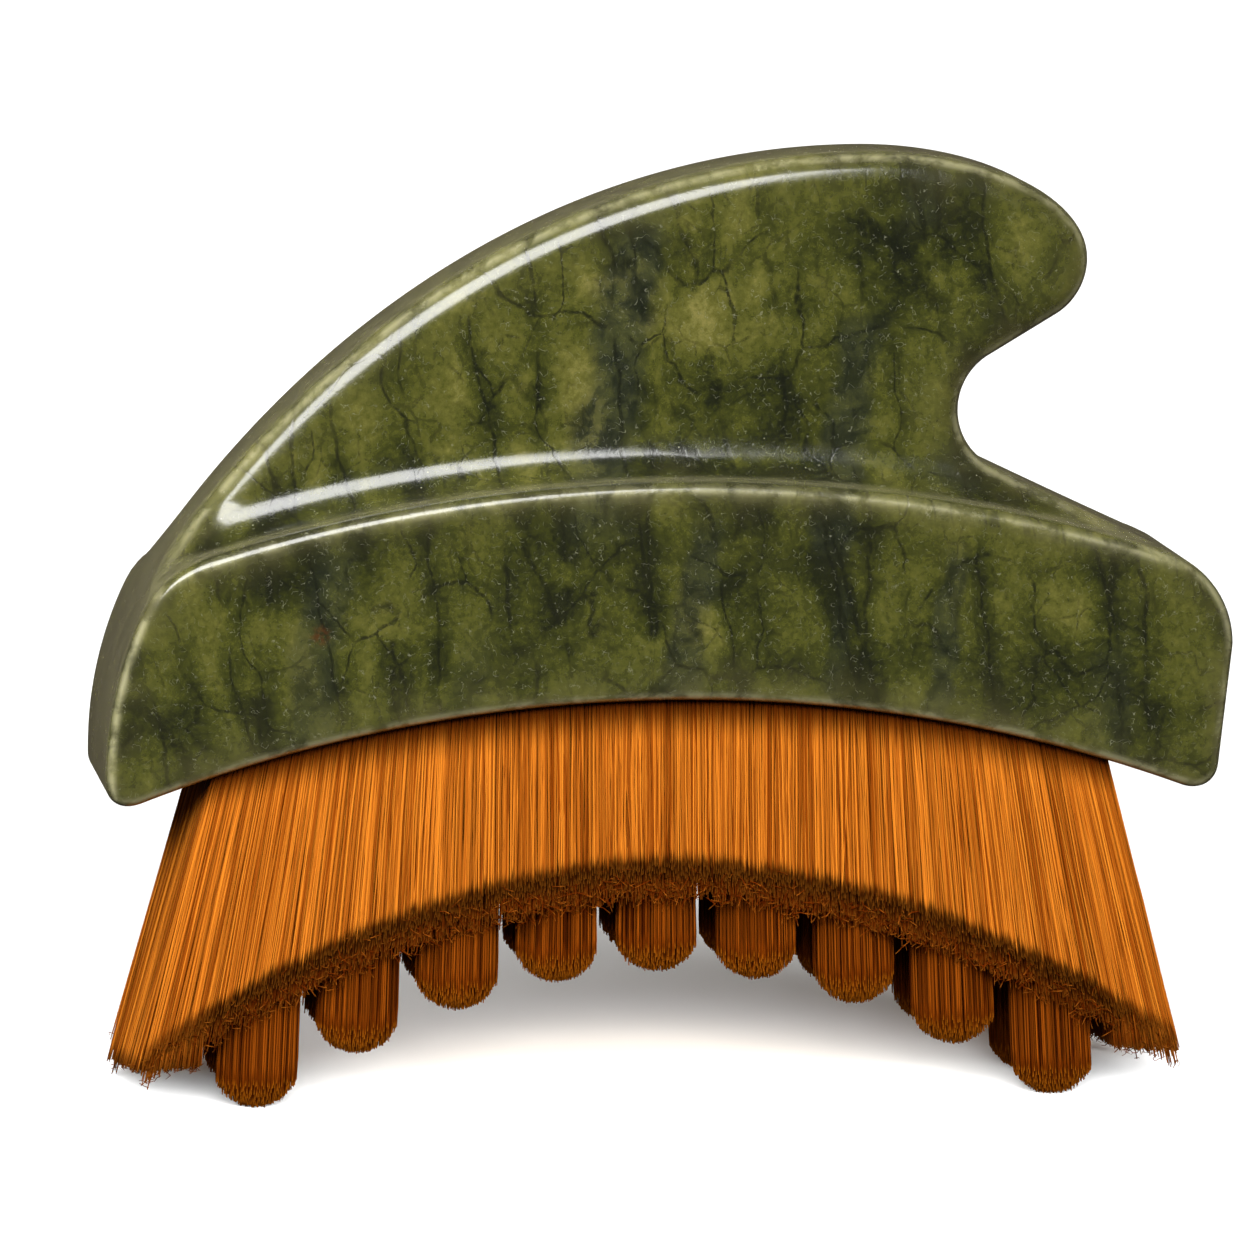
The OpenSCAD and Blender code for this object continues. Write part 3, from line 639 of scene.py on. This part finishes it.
def filaments(roots, tips, bow, radius, sides, luck):
    """Points and faces of filaments. Each runs from its root to its tip, bowed by bow, which grows as
    t(1 - t) along it. Its five rings are regular polygons across the run, three up to the share 0.94 of
    it and two that close the tip. Gives also the share of the length at each point, and the filament's
    number."""
    count = len(roots)
    t = np.append(0.94 * np.linspace(0, 1, 3) ** 0.85, [1.0, 1.0])
    centre = roots[:, None] + (tips - roots)[:, None] * t[:, None] + bow[:, None] * (4 * t * (1 - t))[:, None]
    run = tips - roots
    run /= np.linalg.norm(run, axis=1)[:, None]
    side = np.cross(run, [0.0, 1.0, 0.0])
    side /= np.linalg.norm(side, axis=1)[:, None]
    other = np.cross(run, side)
    turn = 2 * np.pi * (np.arange(sides) / sides + luck.random(count)[:, None])
    around = np.cos(turn)[:, :, None] * side[:, None] + np.sin(turn)[:, :, None] * other[:, None]
    width = radius[:, None] * [1, 1, 1, 0.6, 0.1]
    points = centre[:, :, None] + around[:, None] * width[:, :, None, None]
    ring_count = len(t)
    first = (np.arange(count) * ring_count * sides)[:, None, None]
    ring = (np.arange(ring_count - 1) * sides)[None, :, None]
    step = np.arange(sides)[None, None, :]
    a = first + ring + step
    b = first + ring + (step + 1) % sides
    faces = np.stack([a, b, b + sides, a + sides], axis=3).reshape(-1, 4)
    along = np.broadcast_to(t[None, :, None], (count, ring_count, sides)).ravel()
    number = np.broadcast_to(np.arange(count)[:, None, None], (count, ring_count, sides)).ravel()
    return points.reshape(-1, 3), faces, along, number


def backing(low_side, high_side, x_from, x_to):
    """The strip that the filaments stand in: an arched bar, swept along the underside."""
    x = np.linspace(x_from, x_to, 60)
    spoke = np.column_stack([x, under(x) - under_z + under_r]) / under_r
    inner = spoke * (under_r + recess) + [0, under_z - under_r]
    outer = spoke * (under_r + recess + step_h - 0.05) + [0, under_z - under_r]
    ring = [(inner, low_side), (inner, high_side), (outer, high_side), (outer, low_side)]
    points = np.stack([np.column_stack([p[:, 0], y + 0 * x, p[:, 1]]) for p, y in ring], axis=1)
    a = (np.arange(len(x) - 1)[:, None] * 4 + np.arange(4)).ravel()
    b = (np.arange(len(x) - 1)[:, None] * 4 + (np.arange(4) + 1) % 4).ravel()
    last = 4 * (len(x) - 1)
    sides = np.column_stack([a, b, b + 4, a + 4])
    caps = [[0, 3, 2, 1], [last, last + 1, last + 2, last + 3]]
    return points.reshape(-1, 3), np.concatenate([sides, caps])


def bristle_piece(name, parts, tones):
    """Joins meshes into one piece, and stores what its material reads, which is 0 all over a backing."""
    points = np.concatenate([p for p, f in parts])
    starts = np.cumsum([0] + [len(p) for p, f in parts[:-1]])
    faces = np.concatenate([f + s for (p, f), s in zip(parts, starts)])
    piece = as_mesh(name, points, faces)
    for key, values in tones.items():
        attribute(piece, key, np.concatenate([np.zeros(len(points) - len(values)), values]))
    return piece


def wall_filaments(x, depth, longer, luck):
    """Roots and tips of filaments at the places x along the wall and depth 0 (outer) to 1 (inner) in it,
    longer by so much at the ends of the wall, in the direction in which they flare. Their ends are
    uneven, three in a hundred end much lower, and seven in a hundred stray to the side."""
    z_root = under(brush_x + x) + recess + rooted
    y_root = brush_half_t - edge_gap - (wall_t - 2 * edge_gap) * depth
    x_tip = x + fan(x)
    longer = longer * (x / brush_half) ** 4
    z_tip = wall_tip(x_tip) - bevel(x_tip) * depth - longer
    x_tip += longer_flare * longer * np.sign(x)
    z_tip = z_tip + luck.normal(0, 0.22, len(x)) - np.maximum(0, luck.random(len(x)) - 0.97) * 30
    lean = outer_lean + (inner_lean - outer_lean) * depth
    y_tip = y_root + (z_root - z_tip) * lean
    stray = np.where(luck.random(len(x)) > 0.93, 0.55, 0.16)
    roots = np.column_stack([brush_x + x, y_root, z_root])
    tips = np.column_stack([
        brush_x + x_tip + luck.normal(0, 1, len(x)) * stray,
        y_tip + luck.normal(0, 1, len(x)) * stray * 0.5, z_tip])
    return roots, tips


def curls(ends, longest, luck):
    """Short curly hairs that grow out of filament ends in all directions, more of them downwards, but
    none into the table."""
    count = len(ends)
    way = luck.normal(0, 1, (count, 3)) * [1, 0.45, 0.55] - [0, 0, 0.6]
    way /= np.linalg.norm(way, axis=1)[:, None]
    length = luck.uniform(0.3, 1, count) * longest
    roots = ends - 0.3 * way
    tips = ends + way * length[:, None]
    tips[:, 2] = np.maximum(0.1, tips[:, 2])
    bow = luck.normal(0, 1, (count, 3)) * [0.32, 0.2, 0.2]
    bow[:, 2] = np.maximum(bow[:, 2], 0.1 - np.minimum(roots[:, 2], tips[:, 2]))
    return roots, tips, bow, luck.uniform(0.035, 0.055, count)


def strands(roots, tips, bow, radius, sides, depth, end_shading, curl, luck):
    """The mesh of some filaments and what their material reads: a tone for each, its depth in the wall,
    how much painted shading its end gets, whether it is a curl, and the distances in millimetres from its
    root, which is out of the root's shade on a curl, and from its tip."""
    points, faces, along, number = filaments(roots, tips, bow, radius, sides, luck)
    long = np.linalg.norm(tips - roots, axis=1)[number]
    return (points, faces), {
        "tone": luck.random(len(roots))[number], "depth": depth[number], "end_shading": end_shading[number],
        "from_root": 20 * curl + along * long, "to_tip": (1 - along) * long, "curl": curl + 0 * along}


def wall_piece(name, back_bar, roots, tips, depth, spread, curled, luck):
    """One wall: its backing, its filaments, and the curls on the ends of a share of them, which is curled
    in the depth of the wall and less outside."""
    count = len(roots)
    bow = luck.normal(0, 1, (count, 3)) * spread
    radius = filament_r * luck.uniform(0.75, 1.25, count)
    # How much painted shading each filament's end gets, fading out towards the ends of the wall
    end_shading = np.clip((tip_half - 1 - np.abs(tips[:, 0] - brush_x)) / end_shading_fade, 0, 1)
    straight, values = strands(roots, tips, bow, radius, 4, depth, end_shading, 0, luck)
    chosen = luck.random(count) < np.where(depth > 0.3, curled, curl_outer)
    far = np.abs(tips[chosen, 0] - brush_x) / tip_half
    start, end, bow, radius = curls(tips[chosen], curl_long - 0.9 * far**2, luck)
    curly, more = strands(start, end, bow, radius, 3, depth[chosen], end_shading[chosen], 1, luck)
    wall = bristle_piece(name, [back_bar, straight, curly],
                         {key: np.concatenate([values[key], more[key]]) for key in values})
    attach(wall, "root")
    return wall


for side, name, longer in ((-1, "front", 0), (1, "rear", rear_longer)):
    luck = np.random.default_rng(11 + side)
    x = brush_half * (2 * (np.arange(wall_count) + luck.random(wall_count)) / wall_count - 1)
    depth = luck.random(wall_count) ** 1.15
    roots, tips = wall_filaments(x, depth, longer, luck)
    roots[:, 1] *= side
    tips[:, 1] *= side
    ends = sorted([side * (brush_half_t - wall_t), side * brush_half_t])
    wall = wall_piece("wall_" + name, backing(*ends, brush_x - brush_half, brush_x + brush_half),
                      roots, tips, depth, [0.12, 0.08, 0], curl_inner, luck)
    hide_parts(*[f"{name}_skirt_{i}" for i in range(1, 6)])

for side, name, longer in ((-1, "left", left_longer), (1, "right", right_longer)):
    luck = np.random.default_rng(21 + side)
    reach_y = brush_half_t - wall_t - edge_gap
    y = (brush_half_t - 0.5) * (2 * (np.arange(end_count) + luck.random(end_count)) / end_count - 1)
    depth = luck.random(end_count)
    z_root = under(brush_x + side * brush_half) + recess + rooted
    x_root = brush_half - edge_gap - (wall_t - 2 * edge_gap) * depth
    # The ends are trimmed askew, with the rear corner the lowest
    longer = longer * (1 + askew * y / brush_half_t)
    x_tip = tip_half + longer_flare * longer - draw_in * depth
    z_tip = wall_tip(tip_half) - end_drop - longer + inner_rise * depth
    z_tip = z_tip + luck.normal(0, 0.15, end_count)
    spread = 1 + (z_root - z_tip) * end_lean / (brush_half_t - wall_t)
    stray = np.where(luck.random(end_count) > 0.94, 0.5, 0.12)
    roots = np.column_stack([brush_x + side * x_root, y, z_root + 0 * y])
    tips = np.column_stack([
        brush_x + side * (x_tip + luck.normal(0, 1, end_count) * stray * 0.6),
        y * spread + luck.normal(0, 1, end_count) * stray, z_tip])
    ends = sorted([brush_x + side * (brush_half - wall_t), brush_x + side * brush_half])
    wall = wall_piece(f"wall_{name}_end", backing(-reach_y, reach_y, *ends), roots, tips, depth,
                      [0.1, 0.1, 0], curl_end, luck)
    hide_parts(f"{name}_end_skirt")

# Both nylons get their colour from one group: a tone for each strand, painted darker near the root as the
# stone's shade, a painted shadow at the line where the outer filaments end, painted brown shade below it,
# and a painted golden glint at the very end
tint = bpy.data.node_groups.new("nylon_tint", "ShaderNodeTree")
for kind, keys in (("Color", ("Dark", "Light", "Line", "Fuzz", "Gold")),
                   ("Float", ("Line Height", "Gilding", "Root Shade"))):
    for key in keys:
        tint.interface.new_socket(name=key, in_out="INPUT", socket_type="NodeSocket" + kind)
tint.interface.new_socket(name="Color", in_out="OUTPUT", socket_type="NodeSocketColor")
given = tint.nodes.new("NodeGroupInput").outputs
read = {key: stored(tint, key) for key in ("tone", "from_root", "to_tip", "depth", "curl", "end_shading")}
shine = blend_colour(tint, read["tone"], given["Dark"], given["Light"])
shaded = calc(tint, "MULTIPLY", fade(tint, read["from_root"], 1.8, 6.0, 1, 0), given["Root Shade"])
shine = blend_colour(tint, shaded, shine, (0.05, 0.009, 0.0005, 1))
# The innermost filaments reach this far below the line where the outermost end
line_drop = 3.6
# Painted shading at the ends: Line just below where the outer filaments end, Fuzz lower down and on curls
above = calc(tint, "SUBTRACT", read["to_tip"], calc(tint, "MULTIPLY", read["depth"], line_drop))
below = fade(tint, above, -2.6, -0.4, 1, 0)
below = calc(tint, "MAXIMUM", below, read["curl"])
below = calc(tint, "MAXIMUM", below, calc(tint, "SUBTRACT", 1, read["end_shading"]))
end_colour = blend_colour(tint, below, given["Line"], given["Fuzz"])
painted_end_shading = put(tint, "MapRange", {"interpolation_type": "SMOOTHSTEP"}, Value=above, From_Min=0.0,
           From_Max=given["Line Height"], To_Min=0.94, To_Max=0.0).outputs[0]
painted_end_shading = calc(tint, "MULTIPLY", painted_end_shading, fade(tint, read["end_shading"], 0, 1, 0.5, 1))
shine = blend_colour(tint, calc(tint, "MAXIMUM", painted_end_shading, read["curl"]), shine, end_colour)
# A painted glint, golden, at the very end of each filament
painted_gleam = calc(tint, "MULTIPLY", fade(tint, read["to_tip"], 0.0, 0.7, 1, 0), given["Gilding"])
shine = blend_colour(tint, painted_gleam, shine, given["Gold"])
tint.links.new(shine, tint.nodes.new("NodeGroupOutput").inputs["Color"])

nylon_gloss = {"Specular_IOR_Level": 0.07, "Specular_Tint": (1.0, 0.30, 0.06, 1)}
nylon, tree, surface = finish("amber_nylon")
# On the walls Line is a painted shadow and Fuzz a lighter painted shade; Gold is a painted glint
made = put(tree, "Group", {"node_tree": tint}, Dark=(0.16, 0.030, 0.0015, 1), Light=(0.50, 0.155, 0.013, 1),
           Line=(0.016, 0.0028, 0.0003, 1), Fuzz=(0.10, 0.0145, 0.0005, 1), Gold=(0.34, 0.105, 0.010, 1),
           Line_Height=1.7, Gilding=0.5, Root_Shade=0.95)
feed(tree, surface, Base_Color=made.outputs["Color"], Roughness=0.4, **nylon_gloss)
for name in ("wall_front", "wall_rear", "wall_left_end", "wall_right_end"):
    bpy.data.objects[name].data.materials.append(nylon)

# ---- The round tufts ----
# Two rows of nine. Each is a bunch of the same filament, folded over its anchor wire and driven into a
# bore of the insert, a little thicker at its tip, and trimmed to a dome.

tufts_a_row, tuft_side_gap, tuft_mid_gap, tuft_end_gap = 9, 0.7, 0.55, 1.1
mid_tuft = tufts_a_row // 2
bore_d = brush_half_t - wall_t - tuft_side_gap - tuft_mid_gap
row_y = tuft_mid_gap + bore_d / 2
root_pitch = (brush_half - wall_t - tuft_end_gap - bore_d / 2) / mid_tuft
tip_pitch = root_pitch + 0.45
root_r, tip_r = 0.95 * (bore_d / 2 - 0.05), bore_d / 2 + 0.6
tuft_rise, flat_cut, dome_h, fall_power = 13.0, 0.5, 3.74, 1.93
tuft_lean = np.tan(np.radians(3.5))
tuft_count, tuft_bow = 800, 0.25

tuft_nylon, tree, surface = finish("tuft_nylon")
# On the tufts Line paints the domed ends a little lighter, a painted light; Gold is a painted glint
made = put(tree, "Group", {"node_tree": tint}, Dark=(0.035, 0.005, 0.0003, 1), Light=(0.21, 0.046, 0.0025, 1),
           Line=(0.17, 0.030, 0.001, 1), Fuzz=(0.27, 0.048, 0.001, 1), Gold=(0.60, 0.17, 0.008, 1),
           Line_Height=2.4, Gilding=0.7, Root_Shade=0.5)
feed(tree, surface, Base_Color=made.outputs["Color"], Roughness=0.55, **nylon_gloss)

# The filaments of a tuft lie on a sunflower spiral, which fills a disc evenly
share_r = np.sqrt((np.arange(tuft_count) + 0.5) / tuft_count)
turn = np.arange(tuft_count) * np.pi * (3 - np.sqrt(5))
spiral = share_r[:, None] * np.column_stack([np.cos(turn), np.sin(turn)])
dome = dome_h * (1 - np.sqrt(1 - 0.95 * share_r**2))

for side, row_name in ((-1, "front"), (1, "rear")):
    for i in range(tufts_a_row):
        luck = np.random.default_rng(100 + 20 * i + side)
        off = i - mid_tuft
        root_x = brush_x + root_pitch * off
        root_z = under(root_x) + recess
        tip_z = tuft_rise - (tuft_rise + flat_cut) * (abs(off) / mid_tuft) ** fall_power
        tip_y = row_y + (root_z - tip_z) * tuft_lean
        disc = spiral + luck.normal(0, 0.015, spiral.shape)
        height = np.maximum(0, tip_z) + luck.normal(0.05, 0.1, tuft_count) + dome
        roots = np.column_stack([[root_x, row_y] + root_r * disc, np.full(tuft_count, root_z + rooted)])
        tips = np.column_stack([[brush_x + tip_pitch * off, tip_y] + tip_r * disc, np.maximum(0.02, height)])
        tips[:, :2] += luck.normal(0, 0.1, (tuft_count, 2))
        bow = np.column_stack([tuft_bow * disc, 0 * share_r])
        bow += luck.normal(0, 0.05, (tuft_count, 3)) * [1, 1, 0]
        for ends in (roots, tips, bow):
            ends[:, 1] *= side
        radius = filament_r * luck.uniform(0.8, 1.2, tuft_count)
        bunch, values = strands(roots, tips, bow, radius, 4, 0 * share_r, 0 * share_r + 1, 0, luck)
        tuft = bristle_piece(f"tuft_{row_name}_{i + 1}", [bunch], values)
        tuft.data.materials.append(tuft_nylon)
        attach(tuft, "root")
        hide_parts(f"{row_name}_tuft_{i + 1}")

# ---- The table, the light and the camera ----
# A white sweep of card under a wide soft box, up in front to the left. Weaker lights fill in the card, the
# stone's left side and the backs of the pieces. A long lens looks from a little to the left and a little
# above, as in the photograph. The distances here are in metres.

sweep_r, sweep_y, sweep_w, sweep_front, sweep_top = 0.5, 1.2, 6.0, -2.5, 3.0
bend = np.radians(np.linspace(0, 90, 25))
profile = np.concatenate([[[sweep_front, 0.0]], np.column_stack([
    sweep_y + sweep_r * np.sin(bend), sweep_r * (1 - np.cos(bend))]), [[sweep_y + sweep_r, sweep_top]]])
card = np.stack([np.column_stack([np.full(len(profile), x), profile]) for x in (-sweep_w / 2, sweep_w / 2)])
card_piece = as_mesh("white_card", card.reshape(-1, 3) / MM, grid_faces(2, len(profile)))
card_white, tree, surface = finish("white_card")
# Painted shadow tint: the card is painted warmer round the bristles, where their shadow falls
away = times(tree, place_mm(tree), 1 / 65, 1 / 75, 1)
away = put(tree, "VectorMath", {"operation": "LENGTH"}, i0=away).outputs["Value"]
painted_warm_shadow = blend_colour(tree, fade(tree, away, 0.0, 0.7), (0.84, 0.74, 0.62, 1), (0.9, 0.9, 0.9, 1))
feed(tree, surface, Base_Color=painted_warm_shadow, Roughness=0.9, Specular_IOR_Level=0.1)
card_piece.data.materials.append(card_white)
# The polished stone mirrors the dark room, not the card, and no light comes up from the card
card_piece.visible_glossy = card_piece.visible_diffuse = False

target = Vector((-3.20, 0, 46.85)) * MM


def towards(way):
    """A turn that points a light or a camera against the direction way, level from side to side."""
    return way.to_track_quat("Z", "Y").to_matrix().to_4x4()


def soft_light(name, place, size, power, aim=target, mirrored=True, only=None):
    """A rectangular light that looks at aim. The polish shows it only if it is mirrored, and it lights
    only the pieces of a collection if one is given."""
    lamp = bpy.data.lights.new(name, "AREA")
    lamp.shape = "RECTANGLE"
    lamp.size, lamp.size_y = size
    lamp.energy = power
    made = bpy.data.objects.new(name, lamp)
    made.matrix_world = Matrix.Translation(place) @ towards(Vector(place) - Vector(aim))
    made.visible_glossy = mirrored
    made.light_linking.receiver_collection = only
    bpy.context.scene.collection.objects.link(made)


soft_light("front_box", (-0.31, -0.64, 0.68), (0.90, 0.52), 12)
soft_light("front_low", (-0.05, -1.10, 0.53), (1.2, 0.30), 28, mirrored=False)
card_only = bpy.data.collections.new("card_only")
card_only.objects.link(card_piece)
soft_light("floor_low", (0.0, -1.16, 0.29), (1.4, 0.25), 70, aim=(0, 0, 0), mirrored=False, only=card_only)
stone_only = bpy.data.collections.new("stone_only")
stone_only.objects.link(stone)
soft_light("side_fill", (-0.95, -0.25, 0.45), (0.4, 0.6), 11, mirrored=False, only=stone_only)
pieces_only = bpy.data.collections.new("pieces_only")
for piece in bpy.context.scene.collection.objects:
    if piece.type == "MESH" and piece != card_piece:
        pieces_only.objects.link(piece)
soft_light("rear_fill", (0.45, 0.95, 0.55), (0.9, 0.6), 24, mirrored=False, only=pieces_only)
soft_light("card_light", (0.0, 0.30, 1.30), (3.0, 0.4), 60, aim=(0.0, 1.29, 1.15), mirrored=False)

# A trace of warm light from all round
world = bpy.data.worlds.new("studio")
world.use_nodes = True
world.node_tree.nodes["Background"].inputs["Color"].default_value = (1, 0.84, 0.62, 1)
world.node_tree.nodes["Background"].inputs["Strength"].default_value = 0.06
bpy.context.scene.world = world
bpy.context.scene.view_settings.view_transform = "Standard"

azimuth, elevation, roll, distance = np.radians(-8), np.radians(8), np.radians(0.5), 0.95
focal_px, picture_px, sensor_mm = 9500, 1254, 36
camera = bpy.data.objects.new("camera", bpy.data.cameras.new("camera"))
camera.data.lens = focal_px / picture_px * sensor_mm
camera.data.sensor_width = sensor_mm
camera.data.clip_start, camera.data.clip_end = 0.05, 20
out = np.cos(elevation)
back_way = Vector((np.sin(azimuth) * out, -np.cos(azimuth) * out, np.sin(elevation)))
camera.matrix_world = (
    Matrix.Translation(target + distance * back_way) @ towards(back_way) @ Matrix.Rotation(roll, 4, "Z"))
bpy.context.scene.collection.objects.link(camera)
bpy.context.scene.camera = camera
